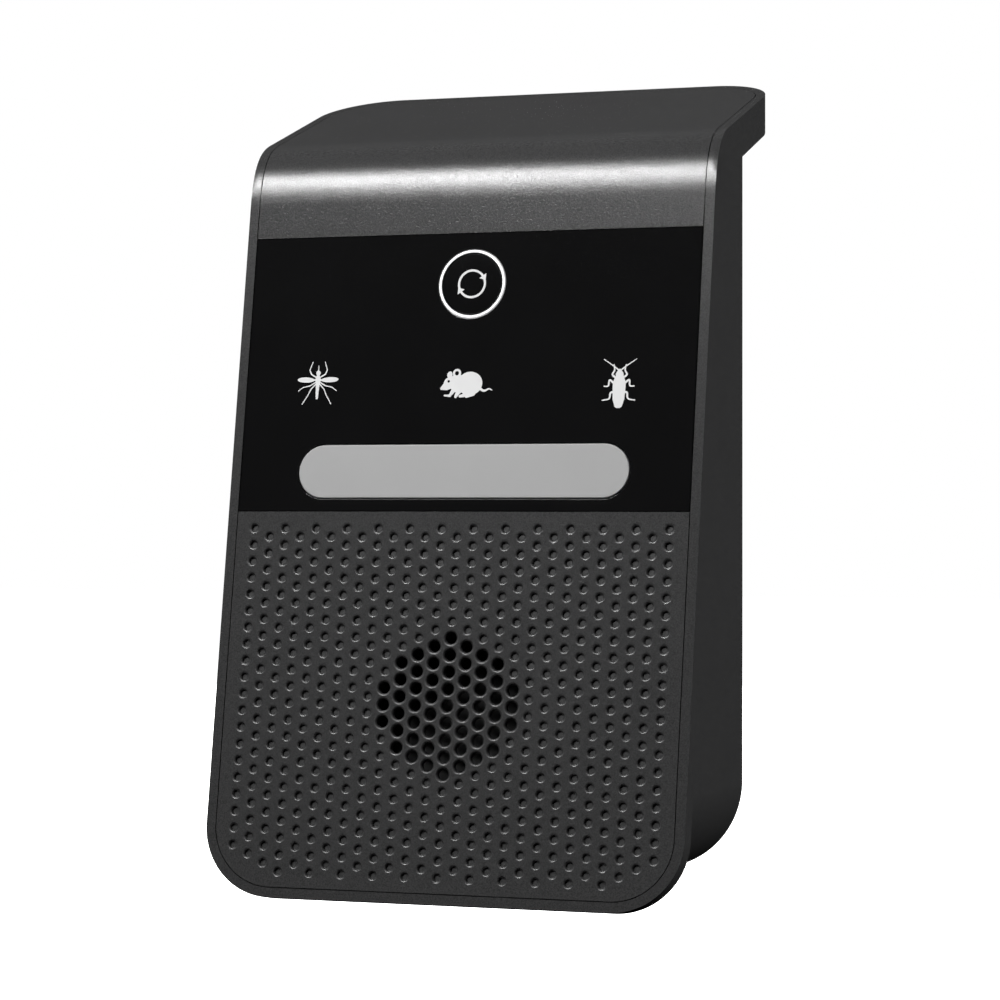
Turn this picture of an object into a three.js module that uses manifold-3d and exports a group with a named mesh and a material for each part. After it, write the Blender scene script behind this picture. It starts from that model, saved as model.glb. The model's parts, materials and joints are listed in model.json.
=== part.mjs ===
// Plug-in ultrasonic pest repeller.
// Millimetres, +X right, +Y back towards the wall, +Z up.
// The origin is the centre of the plug's rear face.
import * as THREE from 'three';
import { mergeVertices } from 'three/addons/utils/BufferGeometryUtils.js';
import Module from 'manifold-3d';

const wasm = await Module();
wasm.setup();

// ---------------------------------------------------------------- dimensions
const TILT = THREE.MathUtils.degToRad(9.88);      // the face leans back
const HALF_W = 36.95;                             // half width of the housing
const BAND = 1.54;                                // border band round the inlay
const GROOVE = 0.16;                              // gap between band and inlay
const FACE_BOTTOM = -28.88;                       // along the face, from the speaker centre
const FACE_BOTTOM_R = 10.7;                       // front lower corners
const FLANGE_T = 3.2;                             // depth of the front lip
const BODY_BOTTOM = -25.8;                        // underside of the body
const BODY_R = 13.7;                              // lower corners of the body
const REAR_Y = 28.45;                             // plane of the rear cover
const HOOD_SLOPE = THREE.MathUtils.degToRad(18.61);
const HOOD_Z0 = 78.377;                           // hood plane's height at y = 0
const BEND_LOW = 8.4, BEND_HIGH = 6.4;             // the bend's reach down the face and along the hood
const BEND_FULL_LOW = 0.80, BEND_FULL_HIGH = 0.64; // how far its handles run to the corner
const HOOD_REAR_Y = 51.4;
const HOOD_EDGE_H = 5.85;
const HOOD_R = 10.7;                              // rear corners of the hood, in plan
const HOOD_UNDER_Z = 81.77;                       // underside of the hood at the rear plane
const WALL = 2.5;
const INLAY_T = 2.0;                              // face plate thickness
const INLAY_GAP = 0.2;                            // behind the face plate
const CAVITY_TOP = 79.3;

const PANEL_LOW = 28.75, PANEL_HIGH = 71.11, PANEL_T = 0.8, PANEL_POCKET = 1.0, PANEL_GAP = 0.12;
const BAR_U = 34.85, BAR_L = 51.9, BAR_H = 8.1, BAR_CLEAR = 0.2;
const BUTTON_U = 63.25, RING_RO = 5.22, RING_RI = 4.80, RING_CLEAR = 0.13;
const CAP_R = 4.63;
const PITCH = 2.5, HOLE_R = 0.84;                 // speaker holes
const GRILLE_R = 11.8, GRILLE_T = 0.9;            // the plate is thinned behind them
const ICON_X = [-23.45, 0.2, 23.85], ICON_U = 48.2, ICON_CELL = 9.6;

const BOARD_D0 = 6.5, BOARD_D1 = 7.7;             // control board, depth behind the face
const CASE_R = 17.5, CASE_D0 = 3.8, CASE_D1 = 13.0;
const POST_X = 22, POST_R = 2.7;

const PLUG_Z = 40, PLUG_LEN = 15.0;               // boss centre height and length
const BOSS_W = 44, BOSS_H = 36, BOSS_R = 7, BOSS_WALL = 2.2;
const BLADE_PITCH = 12.7, BLADE_T = 1.5, BLADE_W = 6.3, BLADE_OUT = 17.5;
const COVER_SCREWS = [[-29, 72], [29, 72], [-29, -13], [29, -13]];

const SIN = Math.sin(TILT), COS = Math.cos(TILT);

// ---------------------------------------------------------------- colours
const plastic = (hex, rough = 0.55) => new THREE.MeshStandardMaterial({ color: hex, roughness: rough, metalness: 0 });
const metal = (hex, rough = 0.35) => new THREE.MeshStandardMaterial({ color: hex, roughness: rough, metalness: 1 });

// ---------------------------------------------------------------- helpers
function solid(geometry) {
  const g = geometry.clone();
  g.deleteAttribute('normal');
  g.deleteAttribute('uv');
  const m = mergeVertices(g, 1e-5);
  return new wasm.Manifold(new wasm.Mesh({
    numProp: 3,
    vertProperties: new Float32Array(m.attributes.position.array),
    triVerts: new Uint32Array(m.index.array),
  }));
}

function geometryOf(manifold) {
  const mesh = manifold.getMesh();
  const g = new THREE.BufferGeometry();
  const n = mesh.numProp;
  const count = mesh.vertProperties.length / n;
  const pos = new Float32Array(count * 3);
  for (let i = 0; i < count; i++) {
    pos[3 * i] = mesh.vertProperties[n * i];
    pos[3 * i + 1] = mesh.vertProperties[n * i + 1];
    pos[3 * i + 2] = mesh.vertProperties[n * i + 2];
  }
  g.setAttribute('position', new THREE.BufferAttribute(pos, 3));
  g.setIndex(new THREE.BufferAttribute(new Uint32Array(mesh.triVerts), 1));
  return g;
}

const shapeOf = (pts) => new THREE.Shape(pts.map(([a, b]) => new THREE.Vector2(a, b)));

// an outline in X and Z, pushed along +Y from y0 to y1
function prismY(pts, y0, y1) {
  const g = new THREE.ExtrudeGeometry(shapeOf(pts), { depth: y1 - y0, bevelEnabled: false, steps: 1 });
  g.rotateX(Math.PI / 2);
  g.translate(0, y1, 0);
  return solid(g);
}

// an outline in Y and Z, pushed along +X from x0 to x1
function prismX(pts, x0, x1) {
  const g = new THREE.ExtrudeGeometry(shapeOf(pts), { depth: x1 - x0, bevelEnabled: false, steps: 1 });
  g.applyMatrix4(new THREE.Matrix4().makeBasis(
    new THREE.Vector3(0, 1, 0), new THREE.Vector3(0, 0, 1), new THREE.Vector3(1, 0, 0)));
  g.translate(x0, 0, 0);
  return solid(g);
}

// an outline in X and Y, pushed along +Z from z0 to z1
function prismZ(pts, z0, z1) {
  const g = new THREE.ExtrudeGeometry(shapeOf(pts), { depth: z1 - z0, bevelEnabled: false, steps: 1 });
  g.translate(0, 0, z0);
  return solid(g);
}

function box(x0, x1, y0, y1, z0, z1) {
  const g = new THREE.BoxGeometry(x1 - x0, y1 - y0, z1 - z0);
  g.translate((x0 + x1) / 2, (y0 + y1) / 2, (z0 + z1) / 2);
  return solid(g);
}

// a cylinder along Y, a cone frustum where r1 differs
function rodY(x, z, r, y0, y1, seg = 32, r1 = r) {
  const g = new THREE.CylinderGeometry(r1, r, y1 - y0, seg);   // top radius at +Y end
  g.translate(x, (y0 + y1) / 2, z);
  return (z === 0 && x === 0) ? solid(g) : solid(new THREE.CylinderGeometry(r1, r, y1 - y0, seg).translate(x, (y0 + y1) / 2, z));
}

function rodX(y, z, r, x0, x1, seg = 24) {
  const g = new THREE.CylinderGeometry(r, r, x1 - x0, seg);
  g.rotateZ(Math.PI / 2);
  g.translate((x0 + x1) / 2, y, z);
  return solid(g);
}

// a closed profile of (radius, y) turned about the Y axis, moved to (x, z)
function turned(profile, x = 0, z = 0, seg = 40) {
  const pts = profile.map(([r, y]) => new THREE.Vector2(r, y));
  pts.push(pts[0].clone());
  const g = new THREE.LatheGeometry(pts, seg);
  g.translate(x, 0, z);
  let s = solid(g);
  if (s.volume() < 0) {
    const idx = g.index.array;
    for (let i = 0; i < idx.length; i += 3) { const t = idx[i]; idx[i] = idx[i + 1]; idx[i + 1] = t; }
    s = solid(g);
  }
  return s;
}

function arc(cx, cz, r, a0, a1, n) {
  const out = [];
  for (let i = 0; i <= n; i++) {
    const a = a0 + (a1 - a0) * i / n;
    out.push([cx + r * Math.cos(a), cz + r * Math.sin(a)]);
  }
  return out;
}

// rectangle with rounded corners, given per-corner radii [lower, upper]
function roundRect(x0, x1, z0, z1, rLow, rHigh, n = 8) {
  const pts = [];
  const h = Math.PI / 2;
  if (rLow > 0) pts.push(...arc(x0 + rLow, z0 + rLow, rLow, 2 * h, 3 * h, n), ...arc(x1 - rLow, z0 + rLow, rLow, 3 * h, 4 * h, n));
  else pts.push([x0, z0], [x1, z0]);
  if (rHigh > 0) pts.push(...arc(x1 - rHigh, z1 - rHigh, rHigh, 0, h, n), ...arc(x0 + rHigh, z1 - rHigh, rHigh, h, 2 * h, n));
  else pts.push([x1, z1], [x0, z1]);
  return pts;
}

const stadium = (cx, cz, l, h, n = 12) => [
  ...arc(cx + l / 2 - h / 2, cz, h / 2, -Math.PI / 2, Math.PI / 2, n),
  ...arc(cx - l / 2 + h / 2, cz, h / 2, Math.PI / 2, 3 * Math.PI / 2, n)];

const tilt = (s) => s.transform(new THREE.Matrix4().makeRotationX(-TILT).elements);

// a point on the face, u up along it and d behind it, in (y, z)
const facePoint = (u, d) => [u * SIN + d * COS, u * COS - d * SIN];

// ---------------------------------------------------------------- the side profile
const hoodAngle = HOOD_SLOPE;
const corner = (() => {                            // face line meets hood line
  const y = HOOD_Z0 / (COS / SIN - Math.tan(hoodAngle));
  return [y, y * COS / SIN];
})();
const along = (reach, y, z) => [corner[0] + reach * y, corner[1] + reach * z];
const bendPoints = [
  along(BEND_HIGH, Math.cos(hoodAngle), Math.sin(hoodAngle)),
  along(BEND_HIGH * (1 - BEND_FULL_HIGH), Math.cos(hoodAngle), Math.sin(hoodAngle)),
  along(BEND_LOW * (1 - BEND_FULL_LOW), -SIN, -COS),
  along(BEND_LOW, -SIN, -COS)];
const bendCurve = new THREE.CubicBezierCurve(...bendPoints.map(([y, z]) => new THREE.Vector2(y, z)));

// front and top line, offset inwards by d, from the hood's rear to the foot of the face
function frontLine(d, uLow, yRear, n = 14) {
  const zRear = HOOD_Z0 + Math.tan(hoodAngle) * yRear - d / Math.cos(hoodAngle);
  const bend = [];
  for (let i = 0; i <= n; i++) {
    const p = bendCurve.getPoint(i / n), t = bendCurve.getTangent(i / n);
    bend.push([p.x - d * t.y, p.y + d * t.x]);
  }
  return [[yRear, zRear], ...bend, facePoint(uLow, d)];
}

// ---------------------------------------------------------------- housing
const hoodRearZ = HOOD_Z0 + Math.tan(hoodAngle) * HOOD_REAR_Y;
const uAtBodyBottom = (BODY_BOTTOM + FLANGE_T * SIN) / COS;
const outerProfile = [
  ...frontLine(0, FACE_BOTTOM, HOOD_REAR_Y),
  facePoint(FACE_BOTTOM, FLANGE_T),
  facePoint(uAtBodyBottom, FLANGE_T),
  [REAR_Y, BODY_BOTTOM],
  [REAR_Y, HOOD_UNDER_Z],
  [HOOD_REAR_Y, hoodRearZ - HOOD_EDGE_H],
];
const outerBlock = prismX(outerProfile, -HALF_W, HALF_W);
const bodyPrism = prismY(roundRect(-HALF_W - 0.01, HALF_W + 0.01, BODY_BOTTOM, 130, BODY_R, 0, 10), -40, HOOD_REAR_Y + 5);
const flangePrism = tilt(prismY(roundRect(-HALF_W - 0.01, HALF_W + 0.01, FACE_BOTTOM, 60, FACE_BOTTOM_R, 0, 10), -5, FLANGE_T));
const planOutline = (half, yRear, r) => [
  [-half, -60], [half, -60],
  ...arc(half - r, yRear - r, r, 0, Math.PI / 2, 10),
  ...arc(-half + r, yRear - r, r, Math.PI / 2, Math.PI, 10)];
const planPrism = prismZ(planOutline(HALF_W + 0.01, HOOD_REAR_Y, HOOD_R), -80, 140);

const inset = BAND - GROOVE / 2;                   // recess wall from the outer edge
function inlayBlock(grow, thickness, extraFront) {
  // the inlay's own outline, grown outwards by grow
  const half = HALF_W - BAND - GROOVE / 2 + grow;
  const r = FACE_BOTTOM_R - BAND - GROOVE / 2 + grow;
  const uLow = FACE_BOTTOM + BAND + GROOVE / 2 - grow;
  const yRear = HOOD_REAR_Y - BAND - GROOVE / 2 + grow;
  const line = frontLine(-extraFront, uLow - 5, HOOD_REAR_Y + 5);
  const back = frontLine(thickness, uLow - 5, HOOD_REAR_Y + 5).reverse();
  const strip = prismX([...line, ...back], -half, half);
  const front = tilt(prismY(roundRect(-half - 0.01, half + 0.01, uLow, 200, r, 0, 10), -60, 60));
  const plan = prismZ(planOutline(half + 0.01, yRear, r), -80, 140);
  return strip.intersect(front).intersect(plan);
}

const cavityHalf = HALF_W - WALL;
const cavityBottom = BODY_BOTTOM + WALL;
const cavityProfile = [
  facePoint((cavityBottom + 0.5 * SIN) / COS, 0.5),
  [REAR_Y + 1, cavityBottom],
  [REAR_Y + 1, CAVITY_TOP],
  [19.6, CAVITY_TOP],
  facePoint(78, 1.2),
];
const cavity = prismX(cavityProfile, -cavityHalf, cavityHalf)
  .intersect(prismY(roundRect(-cavityHalf - 0.01, cavityHalf + 0.01, cavityBottom, 130, BODY_R - WALL, 0, 8), -40, 60));

let housing = outerBlock.intersect(bodyPrism.add(flangePrism)).intersect(planPrism)
  .subtract(inlayBlock(GROOVE, INLAY_T + INLAY_GAP, 1))
  .subtract(cavity);
const COVER_T = 2.25;                              // rear cover plate
const COVER_IN = REAR_Y - COVER_T;                 // its inner face
for (const [x, z] of COVER_SCREWS) {               // screw posts run from the cover to the ledge
  const front = z > 0 ? 20.5 : 8;
  const side = Math.sign(x);
  const inner = x - side * 3.6;
  const outer = side * (cavityHalf + 0.6);
  housing = housing.add(box(Math.min(inner, outer), Math.max(inner, outer), front, COVER_IN - 0.15, z - 3.6, z + 3.6));
  housing = housing.subtract(rodY(x, z, 1.3, z > 0 ? front + 0.6 : front + 4, COVER_IN + 2, 16));
}

// ---------------------------------------------------------------- face plate
const holes = [];
for (let i = -4; i <= 4; i++) {
  const reach = [4, 3.5, 3, 2.5, 1][Math.abs(i)];
  for (let j = -reach; j <= reach; j += 1) holes.push([i * PITCH, -j * PITCH]);
}
let facePlate = inlayBlock(0, INLAY_T, 0);
const half = HALF_W - BAND - GROOVE / 2;
facePlate = facePlate.subtract(tilt(box(-half - 1, half + 1, -2, PANEL_POCKET, PANEL_LOW, PANEL_HIGH)));
facePlate = facePlate.subtract(tilt(prismY(stadium(0.05, BAR_U, BAR_L + 2 * BAR_CLEAR, BAR_H + 2 * BAR_CLEAR), -1, 4)));
facePlate = facePlate.subtract(tilt(rodY(0, BUTTON_U, RING_RO + RING_CLEAR, -1, 4, 40)));
for (const x of ICON_X) {
  facePlate = facePlate.subtract(tilt(box(x - ICON_CELL / 2, x + ICON_CELL / 2, -1, 4, ICON_U - ICON_CELL / 2, ICON_U + ICON_CELL / 2)));
}
// locating rim round the transducer, its two screw posts, and the speaker holes
let rim = turned([[CASE_R + 0.3, 1.8], [CASE_R + 1.5, 1.8], [CASE_R + 1.5, 6.2], [CASE_R + 0.3, 6.2]]);
rim = rim.add(rodY(-POST_X, 0, POST_R, 1.8, CASE_D1, 20)).add(rodY(POST_X, 0, POST_R, 1.8, CASE_D1, 20));
rim = rim.subtract(rodY(-POST_X, 0, 1.2, 5, CASE_D1 + 1, 16)).subtract(rodY(POST_X, 0, 1.2, 5, CASE_D1 + 1, 16));
facePlate = facePlate.add(tilt(rim));
let cutters = null;
for (const [x, u] of holes) {
  const c = rodY(x, u, HOLE_R, -1, 3, 10);
  cutters = cutters ? cutters.add(c) : c;
}
facePlate = facePlate.subtract(tilt(rodY(0, 0, GRILLE_R, GRILLE_T, INLAY_T + 0.5, 48)));
facePlate = facePlate.subtract(tilt(cutters));

// ---------------------------------------------------------------- pieces in the face's own frame
// X across, Y into the object, Z up along the face
const face = {};
face.display_panel = box(-half, half, 0, PANEL_T, PANEL_LOW + PANEL_GAP, PANEL_HIGH - PANEL_GAP)
  .subtract(prismY(stadium(0.05, BAR_U, BAR_L + 2 * BAR_CLEAR, BAR_H + 2 * BAR_CLEAR), -1, 2))
  .subtract(rodY(0, BUTTON_U, RING_RO + RING_CLEAR, -1, 2, 40));
face.light_bar_diffuser = prismY(stadium(0.05, BAR_U, BAR_L, BAR_H), 0, 3.0)
  .add(prismY(stadium(0.05, BAR_U, BAR_L + 3, BAR_H + 3), INLAY_T + 0.2, 3.0));
face.button_light_ring = turned([[RING_RI, 0], [RING_RO, 0], [RING_RO, INLAY_T + 0.2], [7.2, INLAY_T + 0.2], [7.2, 3.0], [RING_RI, 3.0]], 0, BUTTON_U, 40);

let shield = box(-30.4, 30.4, 2.4, 6.3, 27.2, 54.8);
shield = shield.subtract(prismY(stadium(0.05, BAR_U, BAR_L + 3.8, BAR_H + 3.8), 0, 9));
for (const x of ICON_X) shield = shield.subtract(box(x - 4.7, x + 4.7, 0, 9, ICON_U - 4.7, ICON_U + 4.7));
face.light_shield = shield;
ICON_X.forEach((x, i) => {
  const g = box(x - 4.4, x + 4.4, 1.15, 3.4, ICON_U - 4.4, ICON_U + 4.4)
    .add(box(x - 2.6, x + 2.6, 3.3, 5.4, ICON_U - 2.6, ICON_U + 2.6));
  face[['left_icon_light_guide', 'middle_icon_light_guide', 'right_icon_light_guide'][i]] = g;
  face['icon_led_' + (i + 1)] = box(x - 1.75, x + 1.75, 5.6, BOARD_D0 - 0.1, ICON_U - 1.4, ICON_U + 1.4);
});
[-20, -12, -4, 4, 12, 20].forEach((x, i) => {
  face['bar_led_' + (i + 1)] = box(x - 1.75, x + 1.75, 5.6, BOARD_D0 - 0.1, BAR_U - 1.4, BAR_U + 1.4);
});
[-6.9, 6.9].forEach((x, i) => {
  face['ring_led_' + (i + 1)] = box(x - 0.9, x + 0.9, 5.5, BOARD_D0 - 0.1, BUTTON_U - 1.5, BUTTON_U + 1.5);
});
face.control_board = box(-31.5, 31.5, BOARD_D0, BOARD_D1, 23.5, 73.0)
  .subtract(rodY(-29, 26, 1.2, 6, 9, 16)).subtract(rodY(29, 26, 1.2, 6, 9, 16));
face.tact_switch = box(-3.1, 3.1, 4.95, BOARD_D0 - 0.1, BUTTON_U - 3.1, BUTTON_U + 3.1)
  .subtract(rodY(0, BUTTON_U, 1.5, 4, 6.05, 24));
face.controller_chip = box(-5, 5, BOARD_D1 + 0.1, BOARD_D1 + 1.4, 40, 46.5);

// transducer stack
face.foam_gasket = turned([[12.0, 2.3], [16.6, 2.3], [16.6, 3.6], [12.0, 3.6]], 0, 0, 32);
face.transducer_case = turned([[15.6, CASE_D0], [CASE_R, CASE_D0], [CASE_R, CASE_D1], [4.5, CASE_D1], [4.5, 11.7], [16.0, 11.7], [16.0, CASE_D0 + 1.2], [15.6, CASE_D0 + 1.2]], 0, 0, 32)
  .subtract(box(-7.2, -4.6, 11, 14, -10.4, -9.0)).subtract(box(4.6, 7.2, 11, 14, -10.4, -9.0));
face.transducer_cone = turned([[15.3, 5.3], [15.7, 5.3], [15.7, 6.0], [14.6, 6.0], [3.4, 9.7], [0, 9.9], [0, 9.3], [3.2, 9.2], [14.4, 5.4]], 0, 0, 32);
face.piezo_disc = turned([[0, 10.1], [7.5, 10.1], [7.5, 10.7], [0, 10.7]], 0, 0, 32);
face.terminal_left = box(-7.0, -4.8, 11.2, 15.2, -9.95, -9.45);
face.terminal_right = box(4.8, 7.0, 11.2, 15.2, -9.95, -9.45);
face.transducer_clamp = box(-26.2, 26.2, CASE_D1 + 0.15, CASE_D1 + 1.35, -4.2, 4.2)
  .subtract(rodY(-POST_X, 0, 1.5, 10, 16, 16)).subtract(rodY(POST_X, 0, 1.5, 10, 16, 16));
[-POST_X, POST_X].forEach((x, i) => {
  let s = turned([[0, CASE_D1 + 1.5], [2.3, CASE_D1 + 1.5], [2.3, CASE_D1 + 2.2], [1.5, CASE_D1 + 2.9], [0, CASE_D1 + 2.9]], x, 0, 16)
    .add(rodY(x, 0, 1.0, 7, CASE_D1 + 1.7, 16));
  s = s.subtract(box(x - 1.3, x + 1.3, CASE_D1 + 2.4, CASE_D1 + 4, -0.25, 0.25)).subtract(box(x - 0.25, x + 0.25, CASE_D1 + 2.4, CASE_D1 + 4, -1.3, 1.3));
  face['clamp_screw_' + (i + 1)] = s;
});

// the push button and the switch's own plunger move together
face.mode_button = turned([[0, 0.05], [CAP_R - 0.25, 0.05], [CAP_R, 0.3], [CAP_R, 3.35], [6.2, 3.35], [6.2, 3.95], [3.9, 3.95], [3.9, 1.4], [2.0, 1.4], [2.0, 4.2], [0, 4.2]], 0, BUTTON_U, 32);
face.switch_plunger = turned([[0, 4.25], [1.2, 4.25], [1.2, 5.5], [0, 5.5]], 0, BUTTON_U, 24);

// ---------------------------------------------------------------- pieces square to the wall
const body = {};
body.housing = housing;
body.face_plate = facePlate;

const coverHalf = cavityHalf - 0.2;
let cover = prismY(roundRect(-coverHalf, coverHalf, cavityBottom + 0.2, CAVITY_TOP - 0.2, BODY_R - WALL - 0.2, 0, 8), COVER_IN, REAR_Y);
const bossRect = (grow) => roundRect(-BOSS_W / 2 - grow, BOSS_W / 2 + grow, PLUG_Z - BOSS_H / 2 - grow, PLUG_Z + BOSS_H / 2 + grow, BOSS_R + grow, BOSS_R + grow, 8);
cover = cover.add(prismY(bossRect(0), COVER_IN + 0.5, REAR_Y + PLUG_LEN));
cover = cover.subtract(prismY(bossRect(-BOSS_WALL), COVER_IN - 1, REAR_Y + PLUG_LEN - 2.6));
for (const s of [-1, 1]) {
  const x = s * BLADE_PITCH / 2;
  cover = cover.subtract(box(x - BLADE_T / 2 - 0.12, x + BLADE_T / 2 + 0.12, 38, 46, PLUG_Z - BLADE_W / 2 - 0.12, PLUG_Z + BLADE_W / 2 + 0.12));
}
for (const [x, z] of COVER_SCREWS) {
  cover = cover.subtract(rodY(x, z, 1.6, COVER_IN - 1, REAR_Y + 1, 20)).subtract(rodY(x, z, 2.9, REAR_Y - 1.2, REAR_Y + 1, 24));
}
for (const [x, z] of [[-22, -16], [22, -16], [-22, 49], [22, 49]]) cover = cover.add(rodY(x, z, 1.9, 24.35, COVER_IN + 0.5, 16));
body.rear_cover = cover;

for (const [name, s] of [['left', -1], ['right', 1]]) {
  const x = s * BLADE_PITCH / 2;
  // blade with chamfered tip and an inner shoulder that stops it in the boss
  const tip = REAR_Y + PLUG_LEN + BLADE_OUT;
  const outline = [[31.5, PLUG_Z - 3.15], [40.7, PLUG_Z - 3.15], [tip - 1.6, PLUG_Z - 3.15], [tip, PLUG_Z - 1.9], [tip, PLUG_Z + 1.9], [tip - 1.6, PLUG_Z + 3.15], [31.5, PLUG_Z + 3.15]];
  body['plug_blade_' + name] = prismX(outline, x - BLADE_T / 2, x + BLADE_T / 2)
    .add(box(x - 1.6, x + 1.6, 38.9, 40.7, PLUG_Z - 4.6, PLUG_Z + 4.6))
    .subtract(rodX(tip - 5.5, PLUG_Z, 1.6, x - 3, x + 3, 20));
  const near = x + s * 0.85, far = x + s * 1.35;    // spring leaf beside the blade, foot on the board
  body['blade_contact_' + name] = box(Math.min(near, far), Math.max(near, far), 24.9, 36.5, PLUG_Z - 2.4, PLUG_Z + 2.4)
    .add(box(Math.min(near, x + s * 5), Math.max(near, x + s * 5), 24.35, 24.95, PLUG_Z - 2.4, PLUG_Z + 2.4));
}
COVER_SCREWS.forEach(([x, z], i) => {
  let s = turned([[0, REAR_Y - 1.1], [2.6, REAR_Y - 1.1], [2.6, REAR_Y - 0.45], [1.8, REAR_Y - 0.1], [0, REAR_Y - 0.1]], x, z, 16)
    .add(rodY(x, z, 1.1, (z > 0 ? 21.5 : 13), REAR_Y - 1.0, 12));
  s = s.subtract(box(x - 1.5, x + 1.5, REAR_Y - 0.7, REAR_Y + 1, z - 0.28, z + 0.28)).subtract(box(x - 0.28, x + 0.28, REAR_Y - 0.7, REAR_Y + 1, z - 1.5, z + 1.5));
  body['cover_screw_' + (i + 1)] = s;
});
body.rating_plate = prismY(roundRect(-17, 17, -8, 12, 1.5, 1.5, 4), REAR_Y + 0.05, REAR_Y + 0.25);

const PB0 = 22.6, PB1 = 24.2;                       // power board
body.power_board = box(-24.9, 24.9, PB0, PB1, -19.5, 52.5);
body.electrolytic_capacitor = rodX(18.3, 26, 4.0, -21, -8.5, 28);
body.film_capacitor = box(3.5, 16.5, 14.6, PB0 - 0.1, 22.5, 29.0);
body.bridge_rectifier = box(-15.5, -9.0, 19.6, PB0 - 0.1, 36, 41);
body.fuse = rodX(20.6, 38, 1.8, 8, 17, 20);
body.inductor = turned([[0, 17.6], [3.8, 17.6], [3.8, 18.6], [3.1, 19.0], [3.1, 21.2], [3.8, 21.6], [3.8, PB0 - 0.1], [0, PB0 - 0.1]], -19, 10, 24);
body.drive_transistor = prismZ([...arc(18, 20.2, 2.3, Math.PI * 0.15 - Math.PI / 2, Math.PI * 1.85 - Math.PI / 2 - Math.PI * 0.0, 14)], 4, 9);

// ribbon between the two boards, a thin strip bent twice
{
  const a = facePoint(26, BOARD_D1 + 0.1), b = facePoint(26, BOARD_D1 + 2.4);
  const pts = [a, [b[0], b[1]], [17.5, 19.4], [22.45, 16.8]];
  const top = pts.map(([y, z]) => [y, z + 0.35]).reverse();
  body.ribbon_cable = prismX([...pts, ...top], -6, 2);
}
// the transducer's two leads
for (const [name, s] of [['left', -1], ['right', 1]]) {
  const from = facePoint(-9.7, 15.5);
  const curve = new THREE.CatmullRomCurve3([
    new THREE.Vector3(s * 5.9, from[0], from[1]),
    new THREE.Vector3(s * 6.2, from[0] + 1.8, from[1] - 1.4),
    new THREE.Vector3(s * 8.0, 19.4, -16.2),
    new THREE.Vector3(s * 9.0, 22.3, -16.6)]);
  const section = shapeOf(arc(0, 0, 0.55, 0, 2 * Math.PI, 8).slice(0, 8));
  const g = new THREE.ExtrudeGeometry(section, { steps: 9, bevelEnabled: false, extrudePath: curve });
  body['transducer_lead_' + name] = solid(g);
}

// ---------------------------------------------------------------- scene graph
const DARK = 0x343435, GLOSS = 0x111112, BOARD = 0x1c5a38, PALE = 0x9e9e9e, WHITE = 0xf2f2f2, BLACK = 0x17171a;
const looks = {
  housing: plastic(DARK), face_plate: plastic(DARK), display_panel: plastic(GLOSS, 0.12), mode_button: plastic(GLOSS, 0.14),
  light_bar_diffuser: plastic(PALE, 0.35), button_light_ring: plastic(WHITE, 0.3), light_shield: plastic(BLACK, 0.6),
  control_board: plastic(BOARD, 0.45), power_board: plastic(BOARD, 0.45), tact_switch: plastic(BLACK, 0.4), switch_plunger: plastic(0x2a2a2c, 0.4),
  controller_chip: plastic(BLACK, 0.4), foam_gasket: plastic(0x202022, 0.9), transducer_case: plastic(BLACK, 0.45),
  transducer_cone: plastic(0x1b1b1d, 0.6), piezo_disc: metal(0xc9a14a, 0.35), terminal_left: metal(0xc8c8c8), terminal_right: metal(0xc8c8c8),
  transducer_clamp: metal(0xa9abad, 0.4), rear_cover: plastic(DARK), rating_plate: plastic(0xb4b6b8, 0.4),
  electrolytic_capacitor: plastic(0x25314f, 0.35), film_capacitor: plastic(0xb98a1c, 0.35), bridge_rectifier: plastic(BLACK, 0.4),
  fuse: plastic(0xcfd6d6, 0.2), inductor: plastic(0x3a3a3a, 0.5), drive_transistor: plastic(BLACK, 0.4), ribbon_cable: plastic(0xb7b7b7, 0.5),
  transducer_lead_left: plastic(0x9c1f1c, 0.5), transducer_lead_right: plastic(0x1d1d1f, 0.5),
};
const lookOf = (name) => looks[name]
  ?? (name.includes('screw') ? metal(0x9fa1a4) : name.startsWith('plug_blade') ? metal(0xc9cacc, 0.22)
    : name.startsWith('blade_contact') ? metal(0xc59a45, 0.35) : name.includes('led') ? plastic(0xe9e4c8, 0.3)
      : name.includes('guide') ? plastic(0xe4e6e6, 0.25) : plastic(DARK));

function add(group, name, manifold) {
  const mesh = new THREE.Mesh(geometryOf(manifold), lookOf(name));
  mesh.name = name;
  group.add(mesh);
}

const repeller = new THREE.Group();
const onBody = new THREE.Group();                   // square to the wall
onBody.position.set(0, -(REAR_Y + PLUG_LEN), -PLUG_Z);
const onFace = new THREE.Group();                   // leaning with the face
onFace.rotation.x = -TILT;
for (const [name, s] of Object.entries(body)) add(onBody, name, s);
for (const [name, s] of Object.entries(face)) add(onFace, name, s);
onBody.add(onFace);
repeller.add(onBody);

export default repeller;
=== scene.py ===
import json
import math

import bmesh
import bpy
import numpy as np
from mathutils import Matrix, Vector

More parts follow.
